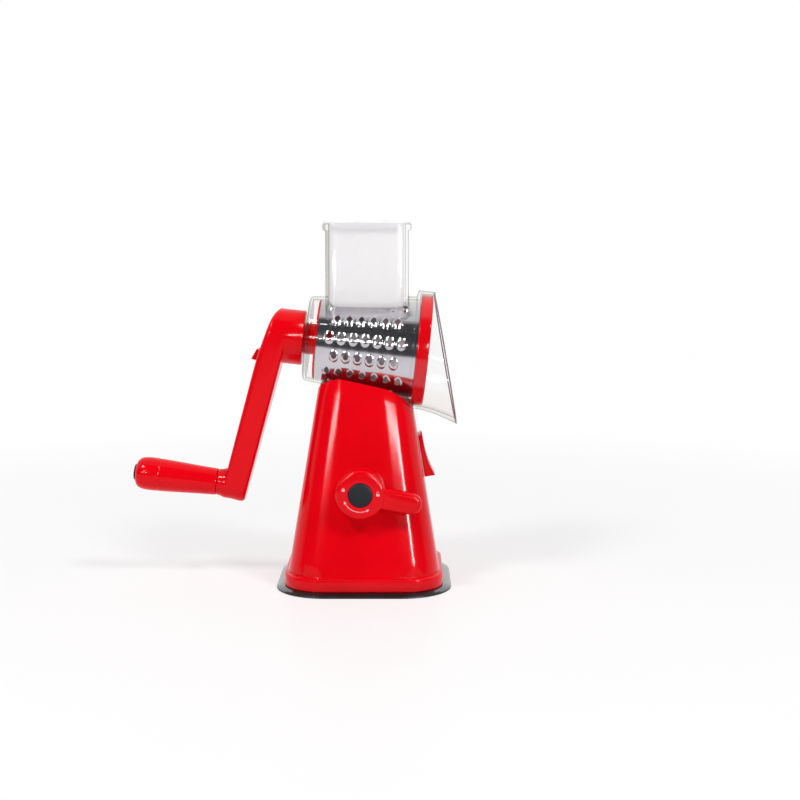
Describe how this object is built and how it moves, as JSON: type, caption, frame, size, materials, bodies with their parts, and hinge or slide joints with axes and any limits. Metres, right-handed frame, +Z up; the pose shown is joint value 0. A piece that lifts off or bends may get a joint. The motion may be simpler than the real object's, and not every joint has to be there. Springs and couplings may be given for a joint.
{
  "type": "rotary cheese grater",
  "caption": "Hand-cranked rotary drum grater on a tapered suction-base pedestal, with a clear feed chute, a push block and an oblique outlet.",
  "frame": {"origin": "middle of the suction pad's flat underside, on the table", "axes": "+Z up the pedestal, +X towards the drum's outlet, -Y towards the locking knob"},
  "size_m": [0.2524, 0.134, 0.2794],
  "materials": {
    "red_plastic": "glossy moulded",
    "black_rubber": "satin rubber",
    "dark_plastic": "satin moulded",
    "inner_plastic": "matt moulded",
    "clear_plastic": "clear, polished",
    "milky_plastic": "translucent, satin",
    "polished_steel": "polished stainless steel",
    "steel": "plated steel"
  },
  "bodies": {
    "base": {"body_shell": "red_plastic", "base_plate": "inner_plastic", "base_screw_1": "steel", "base_screw_2": "steel", "base_screw_3": "steel", "base_screw_4": "steel", "suction_pad": "black_rubber", "shaft_bush": "dark_plastic", "latch_spring": "steel", "hopper": "clear_plastic"},
    "stem": {"suction_stem": "inner_plastic"},
    "lever": {"lever": "red_plastic", "lever_cap": "dark_plastic", "lever_screw": "steel", "cam_shaft": "inner_plastic", "shaft_clip": "steel"},
    "latch": {"latch": "red_plastic", "latch_keeper": "inner_plastic"},
    "pusher": {"pusher": "milky_plastic"},
    "drum": {"drum_sleeve": "polished_steel", "drum_ring": "red_plastic", "drum_hub": "red_plastic"},
    "crank": {"crank_arm": "red_plastic", "crank_spigot": "steel", "crank_button_spring": "steel", "grip_axle": "steel"},
    "crank_button": {"crank_button": "red_plastic"},
    "grip": {"grip": "red_plastic", "grip_cap": "dark_plastic"}
  },
  "joints": [
    {"name": "lever_turn", "type": "hinge", "parent": "base", "child": "lever", "pos_m": [-0.0019, 0, 0.077], "axis": [0, -1, 0], "range_deg": [0, 160]},
    {"name": "stem_lift", "type": "slide", "parent": "base", "child": "stem", "axis": [0, 0, 1], "range_m": [0, 0.0045]},
    {"name": "latch_slide", "type": "slide", "parent": "base", "child": "latch", "axis": [0.1609, 0, -0.987], "range_m": [0, 0.006], "stiffness_N_per_m": 300, "springref_m": -0.006, "deforming": ["latch_spring"]},
    {"name": "pusher_lift", "type": "slide", "parent": "base", "child": "pusher", "axis": [0, 0, 1], "range_m": [0, 0.08]},
    {"name": "crank_turn", "type": "hinge", "parent": "base", "child": "crank", "pos_m": [0, 0, 0.1845], "axis": [0.9945, 0, -0.1045], "continuous": true},
    {"name": "drum_spin", "type": "hinge", "parent": "base", "child": "drum", "pos_m": [0, 0, 0.1845], "axis": [0.9945, 0, -0.1045], "continuous": true},
    {"name": "crank_button_slide", "type": "slide", "parent": "crank", "child": "crank_button", "axis": [-0.2679, 0, -0.9635], "range_m": [0, 0.0035], "stiffness_N_per_m": 200, "springref_m": -0.005, "deforming": ["crank_button_spring"]},
    {"name": "grip_spin", "type": "hinge", "parent": "crank", "child": "grip", "pos_m": [-0.1002, 0, 0.0748], "axis": [0.9925, 0, -0.1219], "continuous": true}
  ],
  "couplings": [
    {"joint": "stem_lift", "follows": "lever_turn", "m_per_rad": 0.00161},
    {"joint": "drum_spin", "follows": "crank_turn", "ratio": 1}
  ]
}
